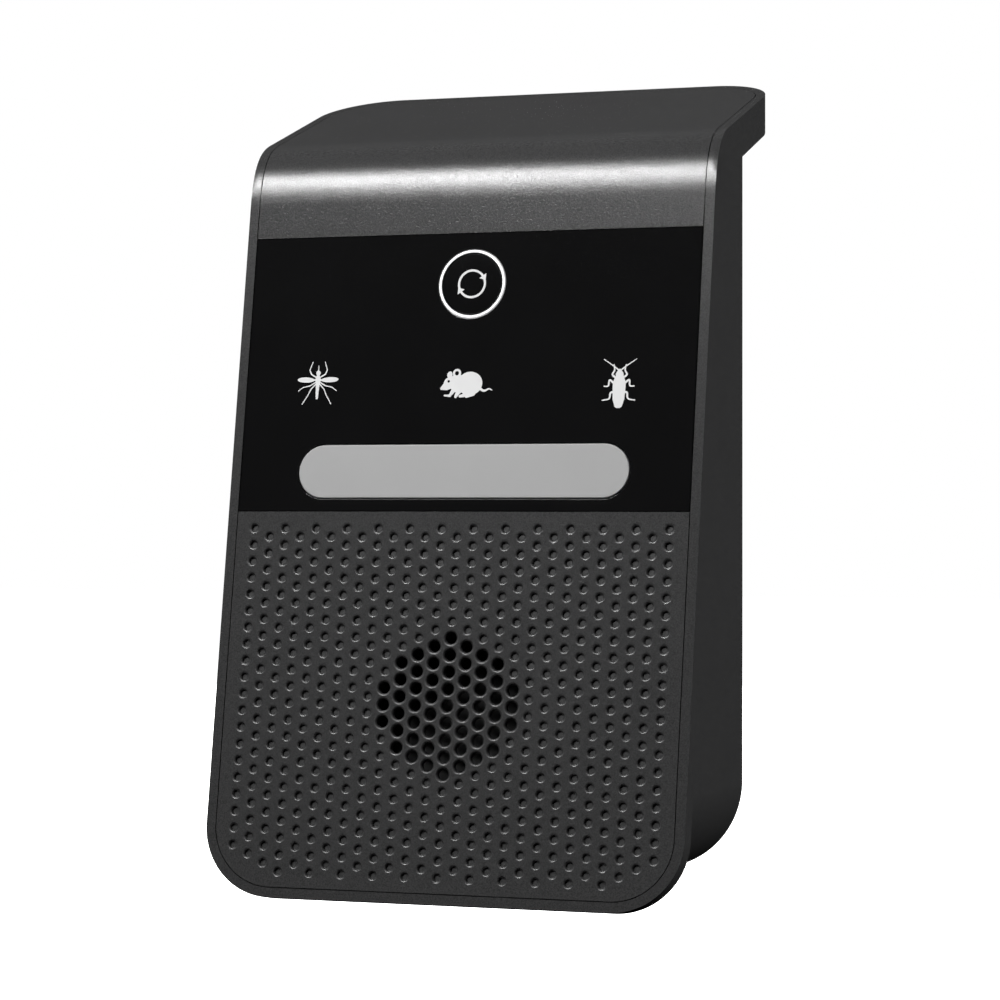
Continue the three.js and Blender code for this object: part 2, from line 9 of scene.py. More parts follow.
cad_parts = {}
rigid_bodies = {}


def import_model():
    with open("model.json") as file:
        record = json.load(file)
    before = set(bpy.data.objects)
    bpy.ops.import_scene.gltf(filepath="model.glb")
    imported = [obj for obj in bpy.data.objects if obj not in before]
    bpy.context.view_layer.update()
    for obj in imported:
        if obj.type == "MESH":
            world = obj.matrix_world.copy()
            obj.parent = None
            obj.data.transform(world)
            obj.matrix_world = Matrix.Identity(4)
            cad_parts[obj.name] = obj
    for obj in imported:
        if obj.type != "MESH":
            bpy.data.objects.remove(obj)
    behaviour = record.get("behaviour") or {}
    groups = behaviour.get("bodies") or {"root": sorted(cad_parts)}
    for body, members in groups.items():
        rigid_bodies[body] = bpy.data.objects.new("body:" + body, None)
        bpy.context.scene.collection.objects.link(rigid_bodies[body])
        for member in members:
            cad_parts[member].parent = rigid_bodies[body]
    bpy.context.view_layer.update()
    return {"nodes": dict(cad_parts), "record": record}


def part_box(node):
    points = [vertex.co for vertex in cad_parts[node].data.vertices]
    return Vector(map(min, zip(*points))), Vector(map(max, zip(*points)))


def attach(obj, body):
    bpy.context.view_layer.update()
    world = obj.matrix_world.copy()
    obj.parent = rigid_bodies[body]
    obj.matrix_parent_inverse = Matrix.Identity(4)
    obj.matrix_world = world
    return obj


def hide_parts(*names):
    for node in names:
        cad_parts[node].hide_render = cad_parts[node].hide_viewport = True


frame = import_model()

scene = bpy.context.scene
link = scene.collection.objects.link

# ------------------------------------------------------------------ dimensions, mm
# Shapes are worked out in millimetres from the speaker's centre (X right, Y back, Z up)
# and moved to the part's frame, whose origin is the centre of the plug face.
TILT = math.radians(9.88)
SIN, COS = math.sin(TILT), math.cos(TILT)
HALF_W = 36.95
BAND, GROOVE = 1.54, 0.16
FACE_BOTTOM, FACE_BOTTOM_R, FLANGE_T = -28.88, 10.7, 3.2
BODY_BOTTOM, BODY_R, REAR_Y = -25.8, 13.7, 28.45
HOOD_SLOPE, HOOD_Z0 = math.radians(18.61), 78.377
BEND_LOW, BEND_HIGH, BEND_FULL_LOW, BEND_FULL_HIGH = 8.4, 6.4, 0.80, 0.64
HOOD_REAR_Y, HOOD_EDGE_H, HOOD_R, HOOD_UNDER_Z = 51.4, 5.85, 10.7, 81.77
WALL, INLAY_T, INLAY_GAP, CAVITY_TOP = 2.5, 2.0, 0.2, 79.3
PANEL_LOW, PANEL_HIGH, PANEL_T, PANEL_POCKET, PANEL_GAP = 28.75, 71.11, 0.8, 1.0, 0.12
BAR_U, BAR_L, BAR_H, BAR_CLEAR = 34.85, 51.9, 8.1, 0.2
BUTTON_U, RING_RO, RING_RI, RING_CLEAR, CAP_R = 63.25, 5.22, 4.80, 0.13, 4.63
ICON_X, ICON_U, ICON_CELL = (-23.45, 0.2, 23.85), 48.2, 9.6
PITCH, HOLE_R, GRILLE_R, GRILLE_T = 2.5, 0.84, 11.8, 0.9
CASE_R, CASE_D1, POST_X, POST_R = 17.5, 13.0, 22, 2.7
PLUG_Z, PLUG_LEN = 40.0, 15.0
BOSS_W, BOSS_H, BOSS_R, BOSS_WALL = 44, 36, 7, 2.2
BLADE_PITCH, BLADE_T, BLADE_W, BLADE_OUT = 12.7, 1.5, 6.3, 17.5
COVER_SCREWS = ((-29, 72), (29, 72), (-29, -13), (29, -13))
COVER_T = 2.25
COVER_IN = REAR_Y - COVER_T
TO_PART = Matrix.Scale(0.001, 4) @ Matrix.Translation((0, -(REAR_Y + PLUG_LEN), -PLUG_Z))
LEAN = Matrix.Rotation(-TILT, 4, "X")
HALF_PI = math.pi / 2

# the frame's own numbers agree with the ones above
_lo, _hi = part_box("housing")
assert abs(_hi.x - HALF_W / 1000) < 2e-4 and abs(_hi.y - (HOOD_REAR_Y - REAR_Y - PLUG_LEN) / 1000) < 3e-4


# ------------------------------------------------------------------ mesh helpers
def made(name, verts, faces):
    me = bpy.data.meshes.new(name)
    me.from_pydata([tuple(v) for v in verts], [], faces)
    me.update()
    o = bpy.data.objects.new(name, me)
    link(o)
    return o


def gone(*objs):
    for o in objs:
        me = o.data
        bpy.data.objects.remove(o)
        if me.users == 0:
            bpy.data.meshes.remove(me)


def place(kind, a, b, t):
    if kind == "x":
        return (t, a, b)
    if kind == "y":
        return (a, t, b)
    return (a, b, t)


def prism(kind, pts, t0, t1):
    """A closed outline pushed along an axis: 'x' takes (y, z) points, 'y' takes (x, z), 'z' takes (x, y)."""
    area = sum(p[0] * q[1] - q[0] * p[1] for p, q in zip(pts, pts[1:] + pts[:1]))
    ccw = list(pts) if area > 0 else list(reversed(pts))
    n = len(ccw)
    verts = [place(kind, a, b, t0) for a, b in ccw] + [place(kind, a, b, t1) for a, b in ccw]
    flip = kind == "y"
    low, high = list(range(n))[::-1], list(range(n, 2 * n))
    sides = [[i, (i + 1) % n, n + (i + 1) % n, n + i] for i in range(n)]
    faces = [low, high, *sides]
    if flip:
        faces = [f[::-1] for f in faces]
    return made("tmp", verts, faces)


def cuboid(x0, x1, y0, y1, z0, z1):
    return prism("z", [(x0, y0), (x1, y0), (x1, y1), (x0, y1)], z0, z1)


def turned(profile, x=0.0, z=0.0, seg=64):
    """A closed (radius, y) profile turned about the Y axis through (x, z)."""
    area = sum(p[0] * q[1] - q[0] * p[1] for p, q in zip(profile, profile[1:] + profile[:1]))
    pts = list(profile) if area > 0 else list(reversed(profile))
    verts, rings = [], []
    for r, y in pts:
        if r < 1e-9:
            rings.append([len(verts)])
            verts.append((x, y, z))
        else:
            rings.append(list(range(len(verts), len(verts) + seg)))
            verts += [(x + r * math.cos(2 * math.pi * k / seg), y, z + r * math.sin(2 * math.pi * k / seg)) for k in range(seg)]
    faces = []
    for a, b in zip(rings, rings[1:] + rings[:1]):
        if len(a) == 1 and len(b) == 1:
            continue
        for k in range(seg):
            m = (k + 1) % seg
            if len(a) == 1:
                faces.append([a[0], b[k], b[m]])
            elif len(b) == 1:
                faces.append([a[k], b[0], a[m]])
            else:
                faces.append([a[k], b[k], b[m], a[m]])
    o = made("tmp", verts, faces)
    outward(o)
    return o


def outward(o):
    bm = bmesh.new()
    bm.from_mesh(o.data)
    bmesh.ops.remove_doubles(bm, verts=bm.verts, dist=1e-5)
    bmesh.ops.recalc_face_normals(bm, faces=bm.faces)
    if bm.calc_volume(signed=True) < 0:
        bmesh.ops.reverse_faces(bm, faces=bm.faces)
    bm.to_mesh(o.data)
    bm.free()
    return o


def rod(x, z, r, y0, y1, seg=32):
    return turned([(0, y0), (r, y0), (r, y1), (0, y1)], x, z, seg)


def baked(o):
    """The object's mesh with its modifiers applied."""
    dg = bpy.context.evaluated_depsgraph_get()
    me = bpy.data.meshes.new_from_object(o.evaluated_get(dg))
    old = o.data
    o.modifiers.clear()
    o.data = me
    if old.users == 0:
        bpy.data.meshes.remove(old)
    return o


def csg(a, b, how, solver="MANIFOLD"):
    m = a.modifiers.new("b", "BOOLEAN")
    m.operation, m.object, m.solver = how, b, solver
    baked(a)
    gone(b)
    return a


def join(a, b): return csg(a, b, "UNION")
def cut(a, b): return csg(a, b, "DIFFERENCE")
def common(a, b): return csg(a, b, "INTERSECT")


def merged(objs):
    """Several solids that don't touch, in one mesh."""
    bm = bmesh.new()
    for o in objs:
        bm.from_mesh(o.data)
    me = bpy.data.meshes.new("m")
    bm.to_mesh(me)
    bm.free()
    gone(*objs)
    o = bpy.data.objects.new("m", me)
    link(o)
    return o


def lean(o):
    o.data.transform(LEAN)
    return o


def tidy(o, dist=2e-4, flat=0.002):
    bm = bmesh.new()
    bm.from_mesh(o.data)
    bmesh.ops.remove_doubles(bm, verts=bm.verts, dist=dist)
    bmesh.ops.dissolve_degenerate(bm, edges=bm.edges, dist=dist)
    bmesh.ops.dissolve_limit(bm, angle_limit=flat, use_dissolve_boundaries=False, verts=bm.verts, edges=bm.edges)
    bm.to_mesh(o.data)
    bm.free()
    return o


def rounded(o, width, segments=3, angle=35, weigh=None):
    """Rounds the edges sharper than angle; weigh(midpoint) gives each one's share of width."""
    me = o.data
    bm = bmesh.new()
    bm.from_mesh(me)
    layer = bm.edges.layers.float.get("bevel_weight_edge") or bm.edges.layers.float.new("bevel_weight_edge")
    for e in bm.edges:
        w = 0.0
        if len(e.link_faces) == 2 and e.calc_face_angle(0) > math.radians(angle):
            w = 1.0 if weigh is None else weigh((e.verts[0].co + e.verts[1].co) / 2, e)
        e[layer] = w
    bm.to_mesh(me)
    bm.free()
    m = o.modifiers.new("r", "BEVEL")
    m.limit_method, m.width, m.segments = "WEIGHT", width, segments
    m.miter_outer = "MITER_ARC"
    m.use_clamp_overlap = True
    m.loop_slide = True
    return baked(o)


def arc(cx, cz, r, a0, a1, n):
    return [(cx + r * math.cos(a0 + (a1 - a0) * i / n), cz + r * math.sin(a0 + (a1 - a0) * i / n)) for i in range(n + 1)]


def round_rect(x0, x1, z0, z1, low, high, n=24):
    pts = []
    pts += arc(x0 + low, z0 + low, low, 2 * HALF_PI, 3 * HALF_PI, n) + arc(x1 - low, z0 + low, low, 3 * HALF_PI, 4 * HALF_PI, n) if low > 0 else [(x0, z0), (x1, z0)]
    pts += arc(x1 - high, z1 - high, high, 0, HALF_PI, n) + arc(x0 + high, z1 - high, high, HALF_PI, 2 * HALF_PI, n) if high > 0 else [(x1, z1), (x0, z1)]
    return pts


def stadium(cx, cz, length, h, n=28):
    return (arc(cx + length / 2 - h / 2, cz, h / 2, -HALF_PI, HALF_PI, n)
            + arc(cx - length / 2 + h / 2, cz, h / 2, HALF_PI, 3 * HALF_PI, n))


def face_point(u, d):
    return (u * SIN + d * COS, u * COS - d * SIN)


_corner_y = HOOD_Z0 / (COS / SIN - math.tan(HOOD_SLOPE))
_corner = (_corner_y, _corner_y * COS / SIN)
_hood_dir, _face_dir = (math.cos(HOOD_SLOPE), math.sin(HOOD_SLOPE)), (-SIN, -COS)
BEND = [tuple(c + reach * q for c, q in zip(_corner, way)) for reach, way in (
    (BEND_HIGH, _hood_dir), (BEND_HIGH * (1 - BEND_FULL_HIGH), _hood_dir),
    (BEND_LOW * (1 - BEND_FULL_LOW), _face_dir), (BEND_LOW, _face_dir))]


def front_line(d, u_low, y_rear, n=48):
    """The front and top line, offset inwards by d, from the hood's rear to the foot of the face."""
    z_rear = HOOD_Z0 + math.tan(HOOD_SLOPE) * y_rear - d / math.cos(HOOD_SLOPE)
    bend = []
    for i in range(n + 1):
        t, s = i / n, 1 - i / n
        p = [s ** 3 * a + 3 * s * s * t * b + 3 * s * t * t * c + t ** 3 * e for a, b, c, e in zip(*BEND)]
        v = [3 * s * s * (b - a) + 6 * s * t * (c - b) + 3 * t * t * (e - c) for a, b, c, e in zip(*BEND)]
        m = math.hypot(*v)
        bend.append((p[0] - d * v[1] / m, p[1] + d * v[0] / m))
    return [(y_rear, z_rear), *bend, face_point(u_low, d)]


def plan(half, y_rear, r, n=28):
    return [(-half, -60), (half, -60), *arc(half - r, y_rear - r, r, 0, HALF_PI, n), *arc(-half + r, y_rear - r, r, HALF_PI, math.pi, n)]


def inlay_block(grow, thickness, front):
    half = HALF_W - BAND - GROOVE / 2 + grow
    r = FACE_BOTTOM_R - BAND - GROOVE / 2 + grow
    u_low = FACE_BOTTOM + BAND + GROOVE / 2 - grow
    y_rear = HOOD_REAR_Y - BAND - GROOVE / 2 + grow
    strip = prism("x", front_line(-front, u_low - 5, HOOD_REAR_Y + 5) + front_line(thickness, u_low - 5, HOOD_REAR_Y + 5)[::-1], -half, half)
    strip = common(strip, lean(prism("y", round_rect(-half - 0.01, half + 0.01, u_low, 200, r, 0, 28), -60, 60)))
    return common(strip, prism("z", plan(half + 0.01, y_rear, r), -80, 140))


# ------------------------------------------------------------------ materials
def nodes_of(name):
    mat = bpy.data.materials.new(name)
    mat.use_nodes = True
    nt = mat.node_tree
    nt.nodes.clear()
    out = nt.nodes.new("ShaderNodeOutputMaterial")
    b = nt.nodes.new("ShaderNodeBsdfPrincipled")
    nt.links.new(b.outputs["BSDF"], out.inputs["Surface"])
    return mat, nt, b


def coords(nt, scale=(1, 1, 1), kind="Object"):
    tc = nt.nodes.new("ShaderNodeTexCoord")
    mp = nt.nodes.new("ShaderNodeMapping")
    mp.inputs["Scale"].default_value = scale
    nt.links.new(tc.outputs[kind], mp.inputs["Vector"])
    return mp.outputs["Vector"]


def noise(nt, vec, scale, detail=3.0, rough=0.55):
    n = nt.nodes.new("ShaderNodeTexNoise")
    n.inputs["Scale"].default_value = scale
    n.inputs["Detail"].default_value = detail
    n.inputs["Roughness"].default_value = rough
    nt.links.new(vec, n.inputs["Vector"])
    return n.outputs["Fac"]


def ramp(nt, fac, stops):
    r = nt.nodes.new("ShaderNodeValToRGB")
    r.color_ramp.elements[0].position, r.color_ramp.elements[0].color = stops[0][0], (*stops[0][1], 1)
    r.color_ramp.elements[1].position, r.color_ramp.elements[1].color = stops[-1][0], (*stops[-1][1], 1)
    for pos, col in stops[1:-1]:
        e = r.color_ramp.elements.new(pos)
        e.color = (*col, 1)
    nt.links.new(fac, r.inputs["Fac"])
    return r.outputs["Color"]


def span(nt, fac, lo, hi, f0=0.0, f1=1.0):
    m = nt.nodes.new("ShaderNodeMapRange")
    m.inputs["From Min"].default_value, m.inputs["From Max"].default_value = f0, f1
    m.inputs["To Min"].default_value, m.inputs["To Max"].default_value = lo, hi
    nt.links.new(fac, m.inputs["Value"])
    return m.outputs["Result"]


def bump(nt, height, strength, distance, b, after=None):
    n = nt.nodes.new("ShaderNodeBump")
    n.inputs["Strength"].default_value = strength
    n.inputs["Distance"].default_value = distance
    nt.links.new(height, n.inputs["Height"])
    if after is not None:
        nt.links.new(after, n.inputs["Normal"])
    nt.links.new(n.outputs["Normal"], b.inputs["Normal"])
    return n.outputs["Normal"]


def moulded(name, grey, rough=0.19, grain=4700, strength=0.84, spread=0.30, tint=(1, 1, 1.01), spec=0.5):
    """Spark-eroded moulded plastic: fine even grain and a little mottling."""
    mat, nt, b = nodes_of(name)
    v = coords(nt)
    fine = noise(nt, v, grain, 1.0, 0.5)
    broad = noise(nt, v, 90, 4.0, 0.6)
    mixed = nt.nodes.new("ShaderNodeMath")
    mixed.operation = "MULTIPLY_ADD"
    nt.links.new(fine, mixed.inputs[0])
    mixed.inputs[1].default_value = 0.85
    nt.links.new(span(nt, broad, 0.025, 0.125), mixed.inputs[2])
    lo = tuple(grey * (1 - spread) * t for t in tint)
    hi = tuple(grey * (1 + spread) * t for t in tint)
    col = ramp(nt, mixed.outputs[0], [(0.30, lo), (0.70, hi)])
    nt.links.new(col, b.inputs["Base Color"])
    nt.links.new(span(nt, noise(nt, v, grain * 0.8, 1.0, 0.5), rough - 0.03, rough + 0.04, 0.3, 0.7), b.inputs["Roughness"])
    b.inputs["Specular IOR Level"].default_value = spec
    if strength > 0:
        relief = nt.nodes.new("ShaderNodeMath")
        relief.operation = "MULTIPLY_ADD"
        nt.links.new(fine, relief.inputs[0])
        relief.inputs[1].default_value = 0.55
        nt.links.new(span(nt, noise(nt, v, grain * 2.4, 0.0, 0.5), 0.0, 0.32), relief.inputs[2])
        bump(nt, relief.outputs[0], strength, 0.00004, b)
    return mat


def glossy(name, col, rough=0.06, coat=0.0, wave=0.012, spec=0.5, rough_spread=0.02):
    """Polished plastic: a faint moulding wave, and roughness that varies a little like handled gloss."""
    mat, nt, b = nodes_of(name)
    v = coords(nt)
    broad = noise(nt, v, 60, 3.0, 0.5)
    lo = tuple(c * 0.92 for c in col)
    hi = tuple(min(1, c * 1.06) for c in col)
    nt.links.new(ramp(nt, broad, [(0.3, lo), (0.7, hi)]), b.inputs["Base Color"])
    nt.links.new(span(nt, noise(nt, v, 240, 4.0, 0.6), rough, rough + rough_spread, 0.35, 0.7), b.inputs["Roughness"])
    b.inputs["Coat Weight"].default_value = coat
    b.inputs["Coat Roughness"].default_value = 0.04
    b.inputs["Specular IOR Level"].default_value = spec
    bump(nt, noise(nt, v, 35, 2.0, 0.5), wave, 0.001, b)
    return mat


def metallic(name, col, rough=0.25, brushed=(1, 1, 1), strength=0.1):
    mat, nt, b = nodes_of(name)
    v = coords(nt, brushed)
    streak = noise(nt, v, 2600, 3.0, 0.6)
    nt.links.new(ramp(nt, noise(nt, coords(nt), 120, 3.0, 0.5), [(0.3, tuple(c * 0.9 for c in col)), (0.7, tuple(min(1, c * 1.05) for c in col))]), b.inputs["Base Color"])
    nt.links.new(span(nt, streak, rough - 0.05, rough + 0.08, 0.3, 0.7), b.inputs["Roughness"])
    b.inputs["Metallic"].default_value = 1.0
    bump(nt, streak, strength, 0.00004, b)
    return mat


def glowing(name, col, rough=0.35, lift=0.0, emit=(1, 1, 1)):
    """Milky diffuser plastic, with a soft unevenness and, through lift, a little light of its own, which is a painted
    glow where the part is no lamp.
    """
    mat, nt, b = nodes_of(name)
    v = coords(nt)
    nt.links.new(ramp(nt, noise(nt, v, 140, 3.0, 0.5), [(0.3, tuple(c * 0.985 for c in col)), (0.7, tuple(min(1, c * 1.015) for c in col))]), b.inputs["Base Color"])
    nt.links.new(span(nt, noise(nt, v, 2200, 2.0, 0.5), rough - 0.03, rough + 0.04, 0.3, 0.7), b.inputs["Roughness"])
    b.inputs["Emission Color"].default_value = (*emit, 1)
    b.inputs["Emission Strength"].default_value = lift
    bump(nt, noise(nt, v, 3800, 2.0, 0.5), 0.06, 0.00005, b)
    return mat


MAT = {
    "housing_plastic": moulded("shell_grain", 0.0340),
    "inlay_plastic": moulded("inlay_grain", 0.0360),
    # dimples and holes: smoother pin finish, and a darker colour that is painted shade in the recesses
    "dimple_plastic": moulded("inlay_pin_finish_painted_shade", 0.0265, rough=0.36, strength=0.0),
    "rear_plastic": moulded("cover_grain", 0.0320, rough=0.42),
    "panel_gloss": glossy("panel_gloss_black", (0.0055, 0.0055, 0.0057), 0.05),
    "button_gloss": glossy("key_gloss_black", (0.0052, 0.0052, 0.0054), 0.06),
    "diffuser_plastic": glowing("bar_diffuser", (0.316, 0.316, 0.316), 0.45),
    "white_plastic": glowing("ring_white", (0.80, 0.80, 0.80), 0.35, 0.30),
    # printed ink with a painted glow
    "print": glowing("icon_print_painted_glow", (0.56, 0.56, 0.56), 0.4, 0.10),
    "guide_plastic": glowing("guide_clear", (0.75, 0.76, 0.77), 0.2),
    # black inner plastic, darkened further as painted shade of the housing's inside seen through the grille
    "black_plastic": moulded("inner_black_painted_shade", 0.005, rough=0.5),
    "board_green": glossy("board_mask", (0.012, 0.085, 0.035), 0.3, rough_spread=0.1),
    "led_resin": glowing("led_resin", (0.72, 0.66, 0.40), 0.25),
    "foam": moulded("gasket_foam", 0.012, rough=0.9, grain=1800, strength=0.9),
    # black cone, darkened further as painted shade of the housing's inside seen through the grille
    "cone_paper": moulded("cone_paper", 0.004, rough=0.75, grain=2400, strength=0.5),
    "brass": metallic("contact_brass", (0.72, 0.52, 0.22), 0.3, (1, 0.1, 1)),
    "steel": metallic("zinc_plate", (0.55, 0.56, 0.57), 0.36),
    "capacitor_sleeve": glossy("cap_sleeve", (0.015, 0.030, 0.090), 0.25),
    "film_resin": glossy("film_resin", (0.45, 0.22, 0.02), 0.2, wave=0.1),
    "fuse_glass": glossy("fuse_tube", (0.55, 0.58, 0.58), 0.08),
    "ribbon_plastic": moulded("ribbon_grey", 0.35, rough=0.5, grain=900),
    "red_wire": moulded("lead_red", 0.10, rough=0.45, tint=(2.6, 0.16, 0.12)),
    "black_wire": moulded("lead_black", 0.012, rough=0.45),
    "blade_nickel": metallic("blade_nickel", (0.70, 0.69, 0.67), 0.34, (1, 0.06, 1), 0.06),
    "label": moulded("blank_foil_label", 0.36, rough=0.42, grain=3000, strength=0.12, spread=0.06),
}
SLOT = {s["node"]: s["material_slot"] for s in frame["record"]["subparts"]}


def paint(o, slot):
    o.data.materials.clear()
    o.data.materials.append(MAT[slot])


for name, o in frame["nodes"].items():
    paint(o, SLOT[name])


def piece(o, name, slot, body="root", smooth=32, stands_for=()):
    """Finishes a working solid: into the part's frame, shaded, painted, riding on its body."""
    o.name = o.data.name = name
    me = o.data
    me.transform(TO_PART)
    me.update()
    me.shade_smooth()
    bm = bmesh.new()
    bm.from_mesh(me)
    limit = math.radians(smooth)
    for e in bm.edges:
        e.smooth = not (len(e.link_faces) != 2 or e.calc_face_angle(4) > limit)
    bm.to_mesh(me)
    bm.free()
    w = o.modifiers.new("weighted", "WEIGHTED_NORMAL")
    w.keep_sharp = True
    w.weight = 50
    w.mode = "FACE_AREA"
    paint(o, slot)
    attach(o, body)
    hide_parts(*stands_for)
    return o


# ------------------------------------------------------------------ camera
cam = bpy.data.objects.new("camera", bpy.data.cameras.new("camera"))
link(cam)
cam.data.sensor_width = 36.0
cam.data.lens = 113.2
cam.data.clip_start, cam.data.clip_end = 0.01, 50
cam.rotation_euler = (math.radians(90), 0, math.radians(19.319))
cam.location = TO_PART @ Vector((159.13, -430.43, 30.06))
cam.data.dof.use_dof = False
scene.camera = cam

# ------------------------------------------------------------------ housing
u_body = (BODY_BOTTOM + FLANGE_T * SIN) / COS
hood_rear_z = HOOD_Z0 + math.tan(HOOD_SLOPE) * HOOD_REAR_Y
outer = [*front_line(0, FACE_BOTTOM, HOOD_REAR_Y), face_point(FACE_BOTTOM, FLANGE_T), face_point(u_body, FLANGE_T),
         (REAR_Y, BODY_BOTTOM), (REAR_Y, HOOD_UNDER_Z), (HOOD_REAR_Y, hood_rear_z - HOOD_EDGE_H)]
shell = prism("x", outer, -HALF_W, HALF_W)
body = prism("y", round_rect(-HALF_W - 0.01, HALF_W + 0.01, BODY_BOTTOM, 130, BODY_R, 0, 32), -40, HOOD_REAR_Y + 5)
lip = lean(prism("y", round_rect(-HALF_W - 0.01, HALF_W + 0.01, FACE_BOTTOM, 60, FACE_BOTTOM_R, 0, 32), -5, FLANGE_T))
shell = common(shell, join(body, lip))
shell = common(shell, prism("z", plan(HALF_W + 0.01, HOOD_REAR_Y, HOOD_R, 32), -80, 140))
shell = cut(shell, inlay_block(GROOVE, INLAY_T + INLAY_GAP, 1))
cav_half, cav_low = HALF_W - WALL, BODY_BOTTOM + WALL
cavity = prism("x", [face_point((cav_low + 0.5 * SIN) / COS, 0.5), (REAR_Y + 1, cav_low), (REAR_Y + 1, CAVITY_TOP),
                     (19.6, CAVITY_TOP), face_point(78, 1.2)], -cav_half, cav_half)
cavity = common(cavity, prism("y", round_rect(-cav_half - 0.01, cav_half + 0.01, cav_low, 130, BODY_R - WALL, 0, 16), -40, 60))
shell = cut(shell, cavity)
for x, z in COVER_SCREWS:
    side = 1 if x > 0 else -1
    front = 20.5 if z > 0 else 8
    a, b = sorted((x - side * 3.6, side * (cav_half + 0.6)))
    shell = join(shell, cuboid(a, b, front, COVER_IN - 0.15, z - 3.6, z + 3.6))
    shell = cut(shell, rod(x, z, 1.3, front + 0.6, COVER_IN + 2, 24))
shell = tidy(shell)


def shell_edges(m, e):
    x = abs(m.x)
    depth = m.y * COS - m.z * SIN              # behind the face plane
    up = m.y * SIN + m.z * COS
    if x > 36.7:                               # outside long edges
        return 1.0
    inner = x < 34.6 and -23.6 < m.z < CAVITY_TOP + 0.2 and depth > 0.6 and m.y < REAR_Y - 0.2
    if inner:
        return 0.0
    on_top = m.z > 79 and m.y > 12
    top_gap = (HOOD_Z0 + math.tan(HOOD_SLOPE) * m.y - m.z) * math.cos(HOOD_SLOPE)
    near_front = (depth < 2.3 and up < 79) or (on_top and top_gap < 2.3 and m.y < HOOD_REAR_Y - 0.3)
    if near_front:
        edge_of_recess = x < 35.7 and up > FACE_BOTTOM + 0.9 and m.y < HOOD_REAR_Y - 0.9
        if edge_of_recess:
            return 0.15 if (depth < 0.05 and up < 79) or (on_top and top_gap < 0.06) else 0.0
    return 1.0


shell = rounded(shell, 0.22, 3, 35, shell_edges)
housing = piece(shell, "housing_shell", "housing_plastic", stands_for=("housing",))

# ------------------------------------------------------------------ face plate: grille, bend and hood cover
half = HALF_W - BAND - GROOVE / 2
plate = inlay_block(0.025, INLAY_T, 0)
plate = cut(plate, lean(cuboid(-half - 1, half + 1, -2, PANEL_POCKET, PANEL_LOW, PANEL_HIGH)))
plate = cut(plate, lean(prism("y", stadium(0.05, BAR_U, BAR_L + 2 * BAR_CLEAR, BAR_H + 2 * BAR_CLEAR), -1, 4)))
plate = cut(plate, lean(rod(0, BUTTON_U, RING_RO + RING_CLEAR, -1, 4, 64)))
for x in ICON_X:
    plate = cut(plate, lean(cuboid(x - ICON_CELL / 2, x + ICON_CELL / 2, -1, 4, ICON_U - ICON_CELL / 2, ICON_U + ICON_CELL / 2)))
plate = tidy(plate)


def plate_edges(m, e):
    depth = m.y * COS - m.z * SIN
    up = m.y * SIN + m.z * COS
    gap = (HOOD_Z0 + math.tan(HOOD_SLOPE) * m.y - m.z) * math.cos(HOOD_SLOPE)
    if up < 79 and depth < 0.05 or (m.z > 77 and gap < 0.06):
        return 1.0
    return 0.0


plate = rounded(plate, 0.06, 2, 35, plate_edges)
rim = turned([(CASE_R + 0.3, 1.8), (CASE_R + 1.5, 1.8), (CASE_R + 1.5, 6.2), (CASE_R + 0.3, 6.2)])
for x in (-POST_X, POST_X):
    rim = join(rim, rod(x, 0, POST_R, 1.8, CASE_D1, 32))
    rim = cut(rim, rod(x, 0, 1.2, 5, CASE_D1 + 1, 24))
plate = join(plate, lean(rim))

OPEN_REACH = (4, 3.5, 3, 2.5, 1)
open_at, dimple_at = [], []
for i in range(-13, 14):
    reach_hi = 10 if i % 2 == 0 else 10.5
    reach_lo = (9 if abs(i) == 12 else 10) if i % 2 == 0 else (8.5 if abs(i) == 13 else 9.5)
    j = -reach_hi
    while j <= reach_lo + 1e-6:
        spot = (i * PITCH, -j * PITCH)
        is_open = abs(i) <= 4 and abs(j) <= OPEN_REACH[abs(i)] + 1e-6
        (open_at if is_open else dimple_at).append(spot)
        j += 1


def dish(r_in, r_out, depth, floor=None, n=7):
    """A round recess with a rolled rim: flat at r_out, upright at r_in; floor is its bottom's depth, or None to go through."""
    roll = [(r_out - (r_out - r_in) * math.sin(a), depth * (1 - math.cos(a))) for a in (HALF_PI * k / n for k in range(n + 1))]
    top = [(0, -0.3), (r_out + 0.002, -0.3), (r_out + 0.002, 0.0)] + roll[1:]
    if floor is None:
        return top + [(r_in, 2.6), (0, 2.6)]
    return top + [(r_in - 0.03, floor), (0, floor)]


HOLE_PROFILE = dish(HOLE_R, 1.24, 0.36)
DIMPLE_PROFILE = dish(0.48, 0.91, 0.28, 0.44)
plate = cut(plate, lean(rod(0, 0, GRILLE_R, GRILLE_T, INLAY_T + 0.5, 96)))
cutters = merged([turned(HOLE_PROFILE, x, u, 32) for x, u in open_at] + [turned(DIMPLE_PROFILE, x, u, 32) for x, u in dimple_at])
plate = cut(plate, lean(cutters))
face_plate = piece(plate, "face_plate_shell", "inlay_plastic", smooth=36, stands_for=("face_plate",))
# the mould's pins leave the dimples and holes smoother than the grained face; their darker colour is painted shade in
# the recesses
face_plate.data.materials.append(MAT["dimple_plastic"])
for f in face_plate.data.polygons:
    c = TO_PART.inverted() @ f.center
    up, depth = c.y * SIN + c.z * COS, c.y * COS - c.z * SIN
    if up < PANEL_LOW - 1.5 and 0.004 < depth < INLAY_T - 0.1 and abs(c.x) < half - 0.5 and up > FACE_BOTTOM + 2.5:
        f.material_index = 1

# ------------------------------------------------------------------ display panel, bar, ring, button
panel = cuboid(-half, half, 0, PANEL_T, PANEL_LOW + PANEL_GAP, PANEL_HIGH - PANEL_GAP)
panel = cut(panel, prism("y", stadium(0.05, BAR_U, BAR_L + 2 * BAR_CLEAR, BAR_H + 2 * BAR_CLEAR, 40), -1, 2))
panel = cut(panel, rod(0, BUTTON_U, RING_RO + RING_CLEAR, -1, 2, 96))
panel = rounded(tidy(panel), 0.04, 2, 35, lambda m, e: 1.0 if m.y < 0.05 else 0.0)
piece(lean(panel), "display_lens", "panel_gloss", stands_for=("display_panel",))

